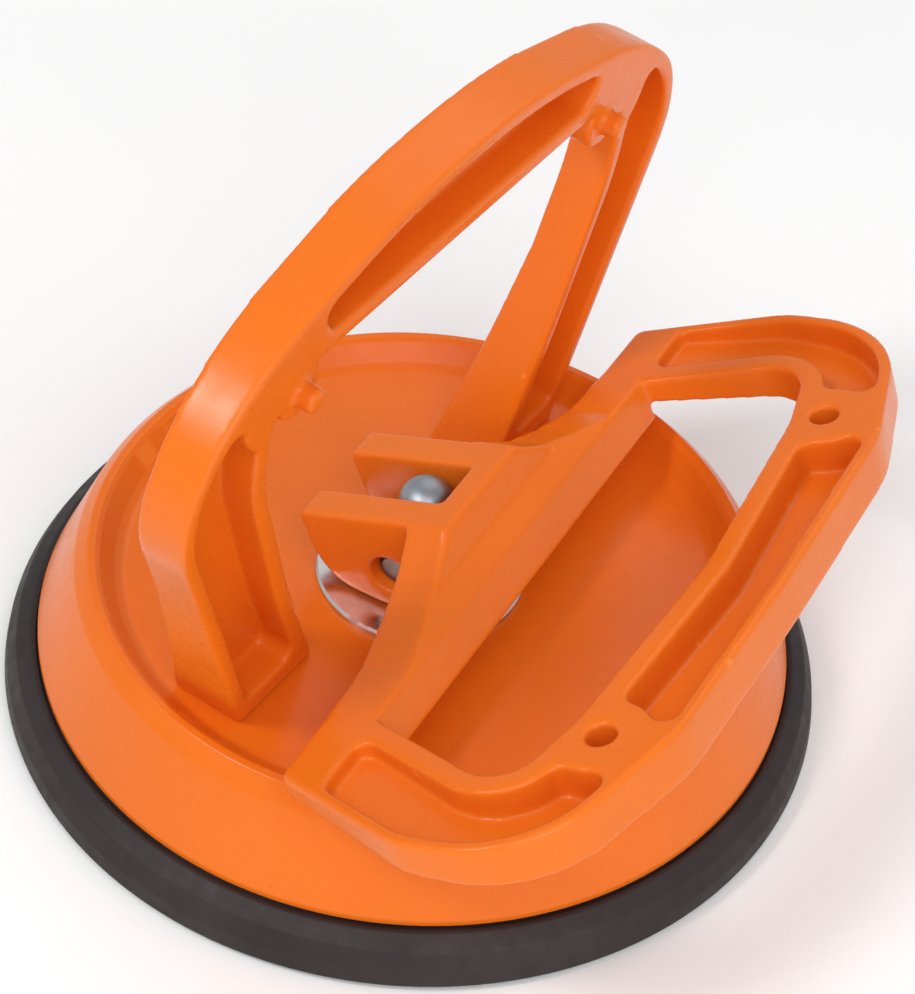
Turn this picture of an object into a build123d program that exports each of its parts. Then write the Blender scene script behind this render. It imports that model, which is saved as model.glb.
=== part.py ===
from build123d import *
import math
import os

# Single-head vacuum suction lifter, in millimetres.
# The origin is the centre of the pad's underside, +Z up.  The modelled pose is the released one:
# the lever points towards +X, turned YAW degrees about Z, and its pivot pin is that far off Y.

# suction pad and its steel insert
PAD_R = 60.0
PAD_EDGE_Z = 1.2
PAD_SHOULDER_R = 56.0
PAD_SHOULDER_Z = 7.8
PAD_SEAT_R = 55.3
PAD_TOP_Z = 5.0
PAD_BEAD_R = 51.0
PLATE_R = 30.0
PLATE_Z0 = 1.8
PLATE_T = 1.6
NUT_ACROSS_FLATS = 13.0
NUT_H = 2.8

# cup housing
HOUSING_Z0 = 7.8
SKIRT_R = 55.0
SHOULDER_R = 49.6
SHOULDER_Z = 21.2
RIM_Z = 23.4
RIM_OUT_R = 47.8
RIM_IN_R = 46.2
DISH_R = 43.9
DISH_Z = 19.6
SHELL_T = 3.0
GUIDE_R = 4.3

# wear washer under the lever's cams
WASHER_R = 15.2
WASHER_T = 1.2
WASHER_HOLE_R = 5.2

# draw stud and pivot pin
STUD_R = 4.0
STUD_TOP = 10.0
STUD_DOME = 3.4
STUD_FOOT_R = 7.0
STUD_FOOT_Z = 0.9
PIN_R = 2.5
PIN_LENGTH = 17.0
PIN_FIT = 0.02
RUN_GAP = 0.06
CAM_GAP = 0.05

# return spring between the insert plate's nut and the dish
SPRING_WIRE_R = 0.65
SPRING_R = 12.0
SPRING_TURNS = 2.6

# lever kinematics: angle of the lever's face above the horizontal, how far the stud rises,
# and how far the stud and lever stand turned about Z while the lever is released
REST_ANGLE = 21.5
CLOSED_ANGLE = 86.0
LIFT = 5.8
PIVOT_H = 6.0
FACE_W = 1.3
YAW = 5.0

# lever, in its own frame: U runs from the pivot to the grip, W is square to its face
EAR_OUT = 10.0
EAR_IN = 4.4
EAR_BORE_R = 3.0
EAR_BORE_T = 1.4
EAR_TIP_CHAMFER = 0.8
HUB_W = 10.0
HUB_FRONT_U = 12.6
HUB_BACK_U = 6.0
HUB_ROOF = [(11.5, 8.6), (16.0, 5.8), (22.0, 3.6), (30.0, 1.6)]
HEEL_U = 3.2
WEB_STEP_U = 1.0
WEB_STEP_W = 3.0
BAR_BACK_U = 8.9
BAR_TOP_U = 16.0
BAR_FRONT_U = 17.2
BAR_HALF = 39.5
BAR_BOTTOM_W = -5.4
GRIP_U = 58.2
BACK_T = 3.4
GRIP_T = 7.8
SLOT_R = 11.2
SLOT_FRONT_U = 8.6
WALL = 1.9
RIB = 3.6
POCKET_CORNER_R = 2.0
POCKET_FLOOR_T = 1.6
POCKET_LEAST_AREA = 20.0
HOLE_U = 47.7
HOLE_Y = 35.3
HOLE_R = 2.05
HOLE_DEPTH = 4.6
HOLE_LAND_R = 6.8
LEVER_OUTLINE = [
    (HUB_BACK_U, EAR_OUT, 8), (BAR_BACK_U - 0.4, 34.0, 20), (BAR_BACK_U, 52.4, 1.5), (31.0, 60.0, 14),
    (49.5, 58.6, 18), (57.6, 32.0, 24), (GRIP_U, 0, 0),
]
LEVER_WINDOW = [(HUB_FRONT_U, BAR_HALF - 1.5, 2), (39.5, 47.5, 6), (43.2, 33.0, 20), (45.6, 0, 0)]

# fixed handle, in the same frame as the closed lever
HANDLE_GAP = 0.4
HANDLE_DEPTH = [(-20.0, 12.6), (2.0, 9.2), (20.0, 7.4), (46.0, 7.2), (70.0, 8.8)]
HANDLE_WALL = 2.6
HANDLE_RIB = 2.8
CHANNEL_DEPTH = 5.4
CHANNEL_END_U = -9.0
FOOT_U = -16.0
WINDOW_FOOT_U = -20.0
BOSS_R = 4.2
BOSS_PIN_R = 1.8
BOSS_PIN_H = 2.8
BOSS_LAND_R = 9.0
BOSS_LAND_SHIFT = 2.0
HANDLE_OUTLINE = [(65.2, 14.0, 90), (57.5, 43.0, 40), (42.5, 60.2, 18), (FOOT_U, 38.4, 0)]
HANDLE_WINDOW = [(50.5, 39.5, 6), (36.5, 41.0, 30), (8.5, 31.5, 20), (WINDOW_FOOT_U, 20.0, 0)]

# reach of the cutting tools, well past the part
FAR = 150.0

# worked out from the sizes above
SWING = math.radians(CLOSED_ANGLE - REST_ANGLE)
CAM_RATE = LIFT / SWING
WASHER_TOP = DISH_Z + WASHER_T
PIVOT_Z = WASHER_TOP + PIVOT_H + CAM_GAP
CLOSED_Z = PIVOT_Z + LIFT


def revolve_profile(points):
    """Solid of revolution about Z from (radius, height) points."""
    return revolve(make_face(Polyline(*points, close=True).rotate(Axis.X, 90)), Axis.Z)


def ring(outer_r, inner_r, z0, z1):
    """Flat ring between two heights."""
    height = z1 - z0
    return Pos(0, 0, z0 + height / 2) * (Cylinder(outer_r, height) - Cylinder(inner_r, height))


def symmetric_face(half):
    """Flat face symmetric about the X axis, from the (x, y, corner radius) points of its +Y half."""
    corners = half + [(x, -y, radius) for x, y, radius in reversed(half) if y > 0]
    face = make_face(Polyline(*[(x, y) for x, y, radius in corners], close=True))
    for x, y, radius in corners:
        if radius > 0:
            corner = face.vertices().sort_by_distance((x, y, 0))[0]
            face = fillet(corner, radius)
    return face


def softened(face, radius):
    """The face with its outward corners rounded."""
    return offset(offset(face, -radius), radius)


def slab(face, w0, w1):
    """The XY face made solid between two heights."""
    return Pos(0, 0, w0) * extrude(face, w1 - w0)


def side_prism(points, half_width):
    """An (x, z) outline made solid, symmetric about the XZ plane."""
    face = make_face(Polyline(*points, close=True).rotate(Axis.X, 90))
    return extrude(face, half_width, both=True)


def lever_place(angle, z, yaw):
    """Takes the lever's own frame to the model's frame at an angle of its face."""
    return Pos(0, 0, z) * Rot(0, 0, yaw) * Rot(0, -angle, 0)


def suction_pad():
    pocket_top = PLATE_Z0 + PLATE_T
    body = revolve_profile([
        (0, 0), (PAD_R - 1.2, 0), (PAD_R, PAD_EDGE_Z), (PAD_R - 0.4, 3.4), (PAD_R - 1.8, 6.2),
        (PAD_SHOULDER_R, PAD_SHOULDER_Z), (PAD_SEAT_R, PAD_SHOULDER_Z),
        (PAD_SEAT_R, PAD_SHOULDER_Z - 0.4), (PAD_BEAD_R, PAD_SHOULDER_Z - 0.4),
        (PAD_BEAD_R - 2, PAD_TOP_Z), (0, PAD_TOP_Z),
    ])
    body -= Pos(0, 0, (PLATE_Z0 + pocket_top) / 2) * Cylinder(PLATE_R, PLATE_T)
    body -= Pos(0, 0, (PLATE_Z0 + STUD_FOOT_Z) / 2) * Cylinder(STUD_FOOT_R, PLATE_Z0 - STUD_FOOT_Z)
    body -= Pos(0, 0, (pocket_top + PAD_TOP_Z) / 2) * Cylinder(STUD_R, PAD_TOP_Z - pocket_top)
    return body


def insert_plate():
    return ring(PLATE_R, STUD_R + RUN_GAP, PLATE_Z0, PLATE_Z0 + PLATE_T)


def plate_nut():
    flat = RegularPolygon(NUT_ACROSS_FLATS / 2, 6, major_radius=False)
    middle = Pos(0, 0, PAD_TOP_Z + NUT_H / 2)
    nut = slab(flat, PAD_TOP_Z, PAD_TOP_Z + NUT_H)
    cone = middle * Cone(NUT_ACROSS_FLATS / 2 + 3, NUT_ACROSS_FLATS / 2 + 0.2, NUT_H)
    return nut & cone - middle * Cylinder(STUD_R + RUN_GAP, NUT_H)


def cup_housing():
    under_z = DISH_Z - SHELL_T
    return revolve_profile([
        (GUIDE_R, DISH_Z), (DISH_R - 1.2, DISH_Z), (DISH_R, DISH_Z + 0.9), (RIM_IN_R - 0.5, RIM_Z - 1.0),
        (RIM_IN_R, RIM_Z - 0.3), (RIM_IN_R + 0.6, RIM_Z), (RIM_OUT_R - 0.4, RIM_Z),
        (RIM_OUT_R + 0.8, RIM_Z - 0.6), (SHOULDER_R, SHOULDER_Z), (SKIRT_R, HOUSING_Z0 + 1.2),
        (SKIRT_R, HOUSING_Z0), (SKIRT_R - 2.6, HOUSING_Z0), (SKIRT_R - 3.4, HOUSING_Z0 + 3),
        (SHOULDER_R - 3.2, SHOULDER_Z - 3.4), (DISH_R - 1.5, under_z), (GUIDE_R, under_z),
    ])


def wear_washer():
    washer = ring(WASHER_R, WASHER_HOLE_R, DISH_Z, WASHER_TOP)
    rims = washer.edges().filter_by(GeomType.CIRCLE).group_by(Axis.Z)[-1]
    return chamfer(rims, 0.35)


def draw_stud():
    dome_top = PIVOT_Z + STUD_TOP
    foot_top = PLATE_Z0 - CAM_GAP
    rod = Pos(0, 0, (foot_top + dome_top) / 2) * Cylinder(STUD_R, dome_top - foot_top)
    rod = fillet(rod.edges().filter_by(GeomType.CIRCLE).sort_by(Axis.Z)[-1], STUD_DOME)
    foot = Pos(0, 0, (STUD_FOOT_Z + foot_top) / 2) * Cylinder(STUD_FOOT_R, foot_top - STUD_FOOT_Z)
    eye = Pos(0, 0, PIVOT_Z) * Rot(0, 0, YAW) * Rot(90, 0, 0) * Cylinder(PIN_R + PIN_FIT, 4 * STUD_R)
    return rod + foot - eye


def pivot_pin():
    pin = Rot(90, 0, 0) * Cylinder(PIN_R, PIN_LENGTH)
    pin = chamfer(pin.edges().filter_by(GeomType.CIRCLE), 0.5)
    return Pos(0, 0, PIVOT_Z) * Rot(0, 0, YAW) * pin


def return_spring():
    low = PAD_TOP_Z + SPRING_WIRE_R + CAM_GAP
    height = DISH_Z - SHELL_T - SPRING_WIRE_R - CAM_GAP - low
    path = Helix(height / SPRING_TURNS, height, SPRING_R)
    section = Plane(path @ 0, z_dir=path % 0) * Circle(SPRING_WIRE_R)
    return Pos(0, 0, low) * sweep(section, path, is_frenet=True)


def cam_points(steps=12):
    """Cam outline in the lever's frame: its support distance grows evenly with the swing,
    so the stud rises by the same amount for each degree of the lever."""
    points = []
    for i in range(steps + 1):
        turn = SWING * i / steps
        down = math.radians(-90 - REST_ANGLE) - turn
        reach = PIVOT_H + CAM_RATE * turn
        u = reach * math.cos(down) + CAM_RATE * math.sin(down)
        w = reach * math.sin(down) - CAM_RATE * math.cos(down)
        points.append((u, w))
    return points


def lever_side():
    """Side outline of the ears, hub and crossbar."""
    rest = math.radians(REST_ANGLE)
    cam = cam_points()
    end_u, end_w = cam[-1]
    tip_w = HUB_W - EAR_TIP_CHAMFER
    tip_u = end_u - (tip_w - end_w) / math.tan(math.radians(CLOSED_ANGLE))
    heel_u = HEEL_U * math.cos(rest) - PIVOT_H * math.sin(rest)
    heel_w = -HEEL_U * math.sin(rest) - PIVOT_H * math.cos(rest)
    return [
        (heel_u, heel_w), (BAR_FRONT_U, BAR_BOTTOM_W), (BAR_TOP_U, FACE_W),
        (HUB_FRONT_U + WEB_STEP_U, FACE_W + WEB_STEP_W), (HUB_FRONT_U, HUB_W),
        (tip_u + EAR_TIP_CHAMFER, HUB_W), (tip_u, tip_w),
    ] + cam[::-1]


def lever_underside(extra=0.0):
    """Everything below the lever's sloping underside, or that much above it."""
    slope = (GRIP_T - BACK_T) / (GRIP_U - BAR_BACK_U)
    front_u = FAR
    back_u = -FAR
    front_w = FACE_W - BACK_T - slope * (front_u - BAR_BACK_U) + extra
    back_w = FACE_W - BACK_T - slope * (back_u - BAR_BACK_U) + extra
    return side_prism([(back_u, -FAR), (front_u, -FAR), (front_u, front_w), (back_u, back_w)], FAR)


def lever_pockets():
    """Sunk pockets in the lever's face: one in the grip and one round each corner."""
    band = offset(symmetric_face(LEVER_OUTLINE), -WALL) - offset(symmetric_face(LEVER_WINDOW), RIB)
    for side in (-1, 1):
        band -= Pos(HOLE_U, side * HOLE_Y) * Circle(HOLE_LAND_R)
    band -= Rectangle(2 * BAR_TOP_U, FAR)
    floor = lever_underside(POCKET_FLOOR_T)
    return [slab(softened(face, POCKET_CORNER_R), -FAR, FACE_W + 1) - floor
            for face in band.faces() if face.area > POCKET_LEAST_AREA]


def lever_handle():
    outline = symmetric_face(LEVER_OUTLINE)
    loop = slab(outline - symmetric_face(LEVER_WINDOW), -FAR, FACE_W) - lever_underside()
    for pocket in lever_pockets():
        loop -= pocket
    for side in (-1, 1):
        loop -= Pos(HOLE_U, side * HOLE_Y, FACE_W) * Cylinder(HOLE_R, 2 * HOLE_DEPTH)

    ears = side_prism(lever_side(), EAR_OUT)
    roof = [(EAR_OUT, HUB_W)] + HUB_ROOF + [(BAR_HALF, FACE_W), (BAR_HALF, BAR_BOTTOM_W)]
    roof_face = Plane.YZ * make_face(Polyline(*roof, *[(-y, w) for y, w in reversed(roof)], close=True))
    flare = side_prism(lever_side(), BAR_HALF) & extrude(roof_face, BAR_FRONT_U) & slab(outline, -FAR, FAR)
    body = loop + ears + flare

    slot_width = 2 * EAR_IN
    body -= Rot(90, 0, 0) * Cylinder(SLOT_R, slot_width)
    body -= Pos(-SLOT_R, 0, 0) * Box(2 * SLOT_R, slot_width, FAR)
    body -= Pos(SLOT_FRONT_U / 2, 0, SLOT_R) * Box(SLOT_FRONT_U, slot_width, 2 * SLOT_R)
    body -= Rot(90, 0, 0) * Cylinder(PIN_R + RUN_GAP, FAR)
    for side in (-1, 1):
        body -= Pos(0, side * EAR_OUT, 0) * Rot(90, 0, 0) * Cylinder(EAR_BORE_R, 2 * EAR_BORE_T)
    return lever_place(REST_ANGLE, PIVOT_Z, YAW) * body


def handle_channels():
    """Channels in the fixed handle's front face: one along the top and one down each leg."""
    band = offset(symmetric_face(HANDLE_OUTLINE), -HANDLE_WALL)
    band -= offset(symmetric_face(HANDLE_WINDOW), HANDLE_RIB)
    for side in (-1, 1):
        band -= Pos(HOLE_U + BOSS_LAND_SHIFT, side * (HOLE_Y + BOSS_LAND_SHIFT)) * Circle(BOSS_LAND_R)
    band -= Pos(CHANNEL_END_U - FAR / 2, 0) * Rectangle(FAR, FAR)
    start = FACE_W - 1
    end = FACE_W + HANDLE_GAP + CHANNEL_DEPTH
    return [slab(softened(face, POCKET_CORNER_R), start, end)
            for face in band.faces() if face.area > POCKET_LEAST_AREA]


def fixed_handle():
    front = FACE_W + HANDLE_GAP
    outline = symmetric_face(HANDLE_OUTLINE) - symmetric_face(HANDLE_WINDOW)
    frame = slab(outline, front, front + HANDLE_DEPTH[0][1])
    for channel in handle_channels():
        frame -= channel
    back = [(u, front + depth) for u, depth in HANDLE_DEPTH]
    behind = side_prism(back + [(back[-1][0], FAR), (back[0][0], FAR)], FAR)
    for side in (-1, 1):
        boss = slab(Circle(BOSS_R), front, front + CHANNEL_DEPTH + 1)
        pin = slab(Circle(BOSS_PIN_R), front - BOSS_PIN_H, front + 1)
        frame += Pos(HOLE_U, side * HOLE_Y) * (boss + pin)
    frame -= behind
    placed = lever_place(CLOSED_ANGLE, CLOSED_Z, 0) * frame
    below = Pos(0, 0, DISH_Z - FAR / 2) * Box(FAR, FAR, FAR)
    return placed - below


PARTS = {
    "suction_pad": suction_pad,
    "insert_plate": insert_plate,
    "plate_nut": plate_nut,
    "cup_housing": cup_housing,
    "fixed_handle": fixed_handle,
    "wear_washer": wear_washer,
    "draw_stud": draw_stud,
    "pivot_pin": pivot_pin,
    "return_spring": return_spring,
    "lever_handle": lever_handle,
}

os.makedirs("parts", exist_ok=True)
for name, make in PARTS.items():
    export_step(make(), f"parts/{name}.step")
print("pivot z", PIVOT_Z, "closed z", CLOSED_Z, "lift per radian", CAM_RATE)
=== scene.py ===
import bmesh
import bpy
import math
from mathutils import Matrix, Vector


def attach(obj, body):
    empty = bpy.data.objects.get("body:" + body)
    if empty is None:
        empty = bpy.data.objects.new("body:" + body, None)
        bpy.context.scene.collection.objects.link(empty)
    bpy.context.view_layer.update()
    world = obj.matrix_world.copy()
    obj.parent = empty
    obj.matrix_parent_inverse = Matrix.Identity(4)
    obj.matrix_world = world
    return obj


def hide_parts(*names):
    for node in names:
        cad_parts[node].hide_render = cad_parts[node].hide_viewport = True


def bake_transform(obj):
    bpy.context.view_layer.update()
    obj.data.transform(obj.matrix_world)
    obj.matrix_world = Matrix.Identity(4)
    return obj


# Looks of the single-head suction lifter, in metres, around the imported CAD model.

MM = 0.001

# camera: where it looks from, how far it is turned about its own axis, and what it looks at
CAMERA_AZIMUTH = math.radians(29.58)
CAMERA_ELEVATION = math.radians(44.25)
CAMERA_ROLL = math.radians(-6.16)
CAMERA_DISTANCE = 418.4 * MM
CAMERA_AIM_RIGHT = 6.93 * MM
CAMERA_AIM_UP = 24.41 * MM
CAMERA_LENS = 101.4
CAMERA_SENSOR = 36.0
CAMERA_CLIP = 0.01

# moulded plastic pieces are remeshed at this size, smoothed, which rounds their edges, and thinned
MOULD_VOXEL = 0.28 * MM
MOULD_PASSES = 26
MOULD_SMOOTHING = 0.5
MOULD_TRIANGLES = 150_000

# points of the CAD meshes nearer than this are one point
SEAM_GAP = 0.001 * MM

# how each handle's flat face lies, so that the remeshing grid can follow it
LEVER_TURN = Matrix.Rotation(math.radians(5.0), 4, "Z") @ Matrix.Rotation(math.radians(-21.5), 4, "Y")
BOW_TURN = Matrix.Rotation(math.radians(-86.0), 4, "Y")

# turned pieces: steps round the axis, steps in a rounded corner, the share of an edge that one
# corner may take, and the radius below which a point is on the axis
LATHE_STEPS = 192
FILLET_STEPS = 5
FILLET_SHARE = 0.48
ON_AXIS = 1e-7

# how far the middle of the pad's underside is dished, in millimetres
PAD_DISH = 0.5

# soft lights: how far towards the camera, to its right and up they stand, their width and their power
SOFTBOXES = {
    "key": (0.25, -0.55, 0.85, 0.20, 2.9),
    "fill": (0.80, 0.15, 0.95, 0.80, 4.8),
    "front": (0.90, 0.60, 0.38, 0.60, 2.8),
    "rear": (-0.60, 0.20, 0.80, 0.50, 0.8),
}
LIGHT_AIM = Vector((0, 0, 0.04))
WORLD_STRENGTH = 0.56
FLOOR_HALF_WIDTH = 3.0
FLOOR_SEGMENTS = 8
FLOOR_DROP = 0.02 * MM

# the part of a noise texture's range that its values mostly lie in
NOISE_LOW, NOISE_HIGH = 0.3, 0.7

# surface pointiness at which the painted highlight on an edge starts, and at which it is full
EDGE_HIGHLIGHT_START, EDGE_HIGHLIGHT_FULL = 0.53, 0.62

# each plastic's colour, and the lighter colour of the painted highlight on its edges
ORANGE = (0.80, 0.162, 0.009), (0.86, 0.215, 0.022)
LEVER_ORANGE = (0.81, 0.170, 0.011), (0.87, 0.225, 0.026)

# each metal's darkest and lightest colour, its least and most roughness, and the scale of its grain
PLATED = (0.58, 0.55, 0.57), (0.74, 0.72, 0.72), 0.16, 0.30, 900.0
STUD = (0.30, 0.34, 0.38), (0.42, 0.47, 0.51), 0.36, 0.50, 1400.0
# the pin's dark, warm colour is painted shade of the hole it sits in, with a painted reflection of the
# orange ears around it
SHADED_PIN = (0.14, 0.11, 0.10), (0.24, 0.19, 0.18), 0.42, 0.56, 1400.0
SPRING = (0.30, 0.30, 0.31), (0.46, 0.46, 0.47), 0.28, 0.42, 1200.0

# turned outlines in millimetres: radius, height and corner radius of each point
# the cup: dish, rim and skirt going outwards, then back along its inside
HOUSING = [
    (4.3, 19.6, 0.3), (42.7, 19.6, 2.0), (43.9, 20.5, 0.8), (45.9, 22.9, 0.8), (46.6, 23.4, 0.5),
    (47.6, 23.4, 0.7), (49.6, 21.2, 2.2), (55.0, 9.0, 1.2), (55.0, 7.8, 0.4), (52.4, 7.8, 0.4),
    (51.6, 10.8, 1.0), (46.4, 17.8, 1.5), (42.4, 16.6, 1.0), (4.3, 16.6, 0.3),
]
# the band of the pad that shows, outside the part that bends
PAD_RIM = [
    (49.0, 0.0, 0.3), (58.9, 0.0, 0.5), (60.0, 1.2, 0.5), (59.6, 3.6, 1.0), (58.2, 6.2, 1.2),
    (56.0, 7.8, 0.8), (55.3, 7.7, 0.2), (55.1, 7.4, 0.1), (51.0, 7.4, 0.5), (49.0, 5.0, 0.4),
]
# the part of the pad that bends, with the pocket that holds the insert plate and the nut
PAD_CENTRE = [
    (0, PAD_DISH, 0), (24.0, PAD_DISH, 6.0), (48.7, 0.0, 0.2), (48.7, 5.0, 0.4), (4.1, 5.0, 0.1),
    (4.1, 3.42, 0), (30.1, 3.42, 0), (30.1, 1.78, 0), (7.1, 1.78, 0), (7.1, 0.88, 0), (0, 0.88, 0),
]


# ---------------------------------------------------------------- objects and meshes

def link(name, data):
    """A new object in the scene, for a mesh, a camera or a light."""
    made = bpy.data.objects.new(name, data)
    bpy.context.scene.collection.objects.link(made)
    return made


def shade_smooth(mesh):
    for polygon in mesh.polygons:
        polygon.use_smooth = True


def filleted(outline, closed):
    """(radius, height) points in metres from (radius, height, fillet) points in millimetres."""
    points = []
    count = len(outline)
    for i, (r, z, fillet) in enumerate(outline):
        here = Vector((r, z))
        if fillet == 0 or (not closed and i in (0, count - 1)):
            points.append(here * MM)
            continue
        before = Vector(outline[i - 1][:2]) - here
        after = Vector(outline[(i + 1) % count][:2]) - here
        half = before.angle(after) / 2
        reach = min(fillet / math.tan(half), before.length * FILLET_SHARE, after.length * FILLET_SHARE)
        start = here + before.normalized() * reach
        end = here + after.normalized() * reach
        for step in range(FILLET_STEPS + 1):
            t = step / FILLET_STEPS
            curve = start * (1 - t) ** 2 + here * 2 * t * (1 - t) + end * t ** 2
            points.append(curve * MM)
    return points


def lathe(name, outline, closed):
    """A turned piece about Z. An open outline starts and ends on the axis."""
    profile = filleted(outline, closed)
    shape = bmesh.new()
    rings = []
    for r, z in profile:
        if r < ON_AXIS:
            rings.append([shape.verts.new((0, 0, z))])
            continue
        turn = [2 * math.pi * i / LATHE_STEPS for i in range(LATHE_STEPS)]
        rings.append([shape.verts.new((r * math.cos(a), r * math.sin(a), z)) for a in turn])
    pairs = list(zip(rings, rings[1:]))
    if closed:
        pairs.append((rings[-1], rings[0]))
    for low, high in pairs:
        for i in range(LATHE_STEPS):
            j = (i + 1) % LATHE_STEPS
            corners = [low[i % len(low)], low[j % len(low)], high[j % len(high)], high[i % len(high)]]
            shape.faces.new(list(dict.fromkeys(corners)))
    bmesh.ops.recalc_face_normals(shape, faces=shape.faces)
    mesh = bpy.data.meshes.new(name)
    shape.to_mesh(mesh)
    shape.free()
    shade_smooth(mesh)
    return link(name, mesh)


def applied(piece):
    """Bakes a piece's modifiers into its mesh."""
    graph = bpy.context.evaluated_depsgraph_get()
    mesh = bpy.data.meshes.new_from_object(piece.evaluated_get(graph))
    piece.modifiers.clear()
    piece.data = mesh
    shade_smooth(mesh)
    return piece


def copied(node, name):
    """A copy of a CAD node's mesh with its seams joined."""
    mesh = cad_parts[node].data.copy()
    shape = bmesh.new()
    shape.from_mesh(mesh)
    bmesh.ops.remove_doubles(shape, verts=shape.verts, dist=SEAM_GAP)
    shape.to_mesh(mesh)
    shape.free()
    mesh.materials.clear()
    return link(name, mesh)


def moulded(node, name, turn):
    """A CAD node with the soft edges of an injection moulding, remeshed in the handle's own frame."""
    piece = copied(node, name)
    piece.data.transform(turn.inverted())
    remesh = piece.modifiers.new("remesh", "REMESH")
    remesh.mode = "VOXEL"
    remesh.voxel_size = MOULD_VOXEL
    smooth = piece.modifiers.new("smooth", "SMOOTH")
    smooth.factor = MOULD_SMOOTHING
    smooth.iterations = MOULD_PASSES
    applied(piece)
    # the remesh leaves four-sided faces, each worth two triangles
    thin = piece.modifiers.new("thin", "DECIMATE")
    thin.ratio = min(1.0, MOULD_TRIANGLES / (2 * len(piece.data.polygons)))
    applied(piece)
    piece.data.transform(turn)
    return piece


# ---------------------------------------------------------------- materials

def material(name):
    made = bpy.data.materials.new(name)
    made.use_nodes = True
    return made, made.node_tree, made.node_tree.nodes["Principled BSDF"]


def noise(tree, scale, detail=3.0, roughness=0.5):
    """Noise in the object's own space."""
    place = tree.nodes.new("ShaderNodeTexCoord")
    texture = tree.nodes.new("ShaderNodeTexNoise")
    texture.inputs["Scale"].default_value = scale
    texture.inputs["Detail"].default_value = detail
    texture.inputs["Roughness"].default_value = roughness
    tree.links.new(place.outputs["Object"], texture.inputs["Vector"])
    return texture.outputs["Fac"]


def ramp(tree, source, stops):
    """A colour ramp of (place, colour) stops."""
    node = tree.nodes.new("ShaderNodeValToRGB")
    elements = node.color_ramp.elements
    while len(elements) < len(stops):
        elements.new(0.5)
    for element, (place, colour) in zip(elements, stops):
        element.position = place
        element.color = (*colour, 1)
    tree.links.new(source, node.inputs["Fac"])
    return node.outputs["Color"]


def spread(tree, source, low, high):
    """Maps the usual range of a noise to low..high."""
    node = tree.nodes.new("ShaderNodeMapRange")
    node.inputs["From Min"].default_value = NOISE_LOW
    node.inputs["From Max"].default_value = NOISE_HIGH
    node.inputs["To Min"].default_value = low
    node.inputs["To Max"].default_value = high
    tree.links.new(source, node.inputs["Value"])
    return node.outputs["Result"]


def bump(tree, shader, height, distance, strength=1.0):
    node = tree.nodes.new("ShaderNodeBump")
    node.inputs["Distance"].default_value = distance
    node.inputs["Strength"].default_value = strength
    tree.links.new(height, node.inputs["Height"])
    tree.links.new(node.outputs["Normal"], shader.inputs["Normal"])


def orange_plastic(name, colour, highlight_colour):
    """Semi-gloss moulded ABS: faint colour drift, a painted highlight on its rounded edges and a fine
    moulded grain.
    """
    made, tree, shader = material(name)
    drift = ramp(tree, noise(tree, 38.0), [(0.35, [c * 0.95 for c in colour]), (0.65, colour)])
    # edges are painted lighter by their pointiness: a painted highlight standing in for the gloss on
    # rounded edges
    edge = tree.nodes.new("ShaderNodeNewGeometry").outputs["Pointiness"]
    highlight_mask = tree.nodes.new("ShaderNodeMapRange")
    highlight_mask.inputs["From Min"].default_value = EDGE_HIGHLIGHT_START
    highlight_mask.inputs["From Max"].default_value = EDGE_HIGHLIGHT_FULL
    tree.links.new(edge, highlight_mask.inputs["Value"])
    mix = tree.nodes.new("ShaderNodeMix")
    mix.data_type = "RGBA"
    tree.links.new(highlight_mask.outputs["Result"], mix.inputs["Factor"])
    tree.links.new(drift, mix.inputs["A"])
    mix.inputs["B"].default_value = (*highlight_colour, 1)
    tree.links.new(mix.outputs["Result"], shader.inputs["Base Color"])
    tree.links.new(spread(tree, noise(tree, 260.0), 0.23, 0.31), shader.inputs["Roughness"])
    shader.inputs["IOR"].default_value = 1.46
    shader.inputs["Specular IOR Level"].default_value = 0.30
    shader.inputs["Subsurface Weight"].default_value = 0.12
    shader.inputs["Subsurface Radius"].default_value = (1.0, 0.35, 0.1)
    shader.inputs["Subsurface Scale"].default_value = 1.5 * MM
    bump(tree, shader, noise(tree, 2600.0, 2.0), 0.012 * MM, 0.2)
    return made


def rubber(name):
    """Matt black moulded rubber with faint bloom and a fine grain."""
    made, tree, shader = material(name)
    stops = [(0.35, (0.017, 0.011, 0.011)), (0.70, (0.028, 0.019, 0.019))]
    bloom = ramp(tree, noise(tree, 60.0, 5.0), stops)
    tree.links.new(bloom, shader.inputs["Base Color"])
    tree.links.new(spread(tree, noise(tree, 400.0), 0.50, 0.66), shader.inputs["Roughness"])
    shader.inputs["Specular IOR Level"].default_value = 0.38
    bump(tree, shader, noise(tree, 3200.0, 3.0), 0.03 * MM, 0.6)
    return made


def steel(name, dark, light, rough_low, rough_high, grain):
    """Plated steel: mottled plating, uneven gloss and a fine grain."""
    made, tree, shader = material(name)
    plating = ramp(tree, noise(tree, 180.0, 4.0), [(0.30, dark), (0.70, light)])
    tree.links.new(plating, shader.inputs["Base Color"])
    shader.inputs["Metallic"].default_value = 1.0
    tree.links.new(spread(tree, noise(tree, 500.0, 4.0), rough_low, rough_high), shader.inputs["Roughness"])
    bump(tree, shader, noise(tree, grain, 2.0), 0.01 * MM, 0.5)
    return made


def floor_material():
    made, tree, shader = material("pale_floor")
    tone = ramp(tree, noise(tree, 6.0), [(NOISE_LOW, (0.91, 0.91, 0.91)), (NOISE_HIGH, (0.94, 0.94, 0.94))])
    tree.links.new(tone, shader.inputs["Base Color"])
    shader.inputs["Roughness"].default_value = 0.8
    return made


# ---------------------------------------------------------------- camera, lights and floor

def view_axes():
    """The camera's right, up and back directions."""
    a, e, r = CAMERA_AZIMUTH, CAMERA_ELEVATION, CAMERA_ROLL
    back = Vector((math.sin(a) * math.cos(e), -math.cos(a) * math.cos(e), math.sin(e)))
    right = Vector((math.cos(a), math.sin(a), 0))
    up = back.cross(right)
    return right * math.cos(r) - up * math.sin(r), right * math.sin(r) + up * math.cos(r), back


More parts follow.
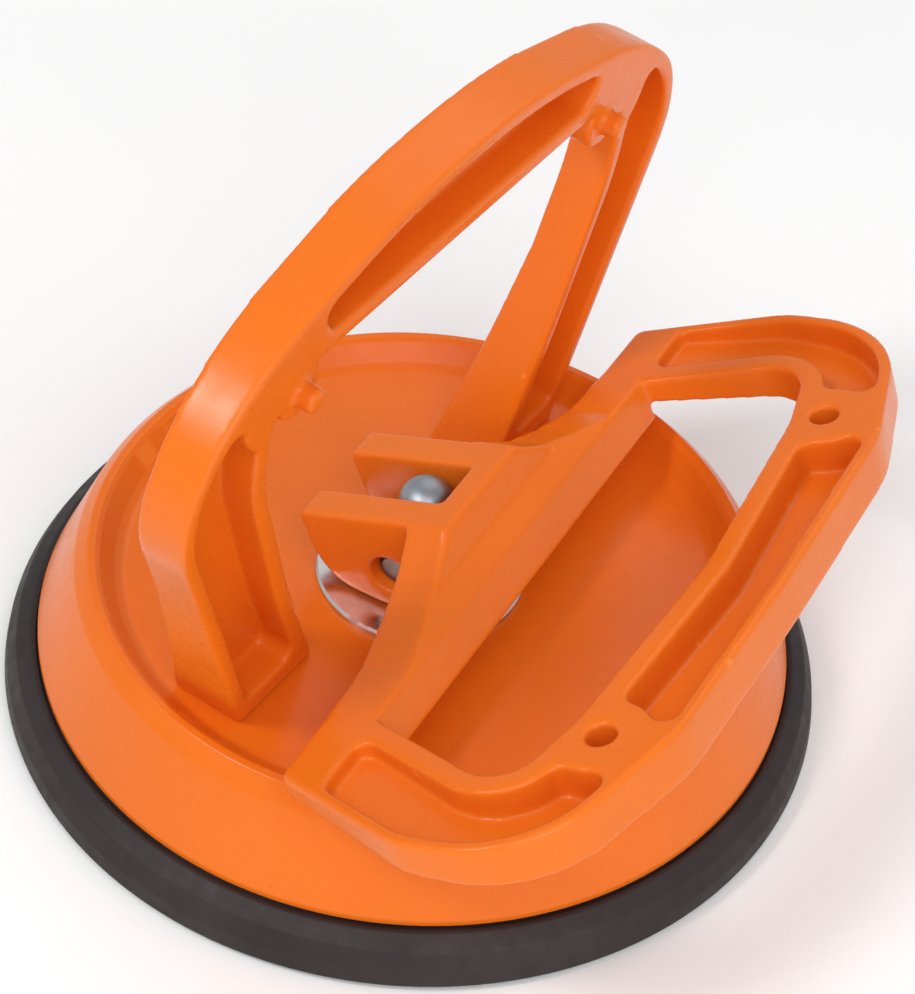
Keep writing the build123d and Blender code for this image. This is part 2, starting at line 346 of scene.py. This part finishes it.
def add_camera():
    right, up, back = view_axes()
    data = bpy.data.cameras.new("camera")
    data.lens = CAMERA_LENS
    data.sensor_width = CAMERA_SENSOR
    data.clip_start = CAMERA_CLIP
    camera = link("camera", data)
    place = right * CAMERA_AIM_RIGHT + up * CAMERA_AIM_UP + back * CAMERA_DISTANCE
    camera.matrix_world = Matrix.Translation(place) @ Matrix((right, up, back)).transposed().to_4x4()
    bpy.context.scene.camera = camera


def add_softbox(name, place, size, power):
    data = bpy.data.lights.new(name, "AREA")
    data.shape = "SQUARE"
    data.size = size
    data.energy = power
    light = link(name, data)
    light.location = place
    light.rotation_euler = (LIGHT_AIM - place).to_track_quat("-Z", "Y").to_euler()


def add_studio():
    world = bpy.data.worlds.new("studio")
    world.use_nodes = True
    sky = world.node_tree.nodes["Background"]
    sky.inputs["Color"].default_value = (1, 1, 1, 1)
    sky.inputs["Strength"].default_value = WORLD_STRENGTH
    bpy.context.scene.world = world

    right, up, back = view_axes()
    level = Vector((back.x, back.y, 0)).normalized()
    for name, (forward, sideways, height, size, power) in SOFTBOXES.items():
        add_softbox(name, level * forward + right * sideways + Vector((0, 0, height)), size, power)

    shape = bmesh.new()
    bmesh.ops.create_grid(
        shape, x_segments=FLOOR_SEGMENTS, y_segments=FLOOR_SEGMENTS, size=FLOOR_HALF_WIDTH
    )
    mesh = bpy.data.meshes.new("floor")
    shape.to_mesh(mesh)
    shape.free()
    floor = link("floor", mesh)
    floor.location.z = -FLOOR_DROP
    mesh.materials.append(floor_material())


# ---------------------------------------------------------------- pieces

def finish_piece(piece, look):
    piece.data.materials.clear()
    piece.data.materials.append(look)
    return piece


def finish_node(node, look):
    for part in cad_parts[node].material_slots:
        part.material = look


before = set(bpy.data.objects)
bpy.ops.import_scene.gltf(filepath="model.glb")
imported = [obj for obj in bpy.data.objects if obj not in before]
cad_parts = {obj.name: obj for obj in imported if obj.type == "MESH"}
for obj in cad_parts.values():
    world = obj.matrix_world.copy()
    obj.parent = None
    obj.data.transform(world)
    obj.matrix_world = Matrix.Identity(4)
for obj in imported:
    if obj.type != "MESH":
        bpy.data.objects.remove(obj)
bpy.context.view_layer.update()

bpy.context.scene.view_settings.view_transform = "Standard"
add_camera()
add_studio()

abs_look = orange_plastic("orange_abs", *ORANGE)
lever_look = orange_plastic("orange_abs_lever", *LEVER_ORANGE)
rubber_look = rubber("black_rubber")
plated_look = steel("plated_steel", *PLATED)
stud_look = steel("stud_steel", *STUD)
shaded_pin_look = steel("pin_steel_painted_shade", *SHADED_PIN)
spring_look = steel("spring_steel", *SPRING)

housing = finish_piece(lathe("housing_shell", HOUSING, closed=True), abs_look)
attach(housing, "housing")
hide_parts("cup_housing")

bow = finish_piece(moulded("fixed_handle", "bow_handle", BOW_TURN), abs_look)
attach(bow, "housing")
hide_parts("fixed_handle")

lever = finish_piece(moulded("lever_handle", "cam_lever", LEVER_TURN), lever_look)
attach(lever, "lever")
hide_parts("lever_handle")

rim = finish_piece(lathe("pad_rim", PAD_RIM, closed=True), rubber_look)
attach(rim, "housing")
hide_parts("suction_pad")

centre = finish_piece(lathe("pad_centre", PAD_CENTRE, closed=False), rubber_look)
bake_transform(centre)
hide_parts("suction_pad")

spring = finish_piece(copied("return_spring", "spring_coil"), spring_look)
shade_smooth(spring.data)
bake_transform(spring)
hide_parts("return_spring")

for node in ("wear_washer", "insert_plate", "plate_nut"):
    finish_node(node, plated_look)
# the pivot pin carries the painted shade of its hole in its colour
finish_node("pivot_pin", shaded_pin_look)
finish_node("draw_stud", stud_look)
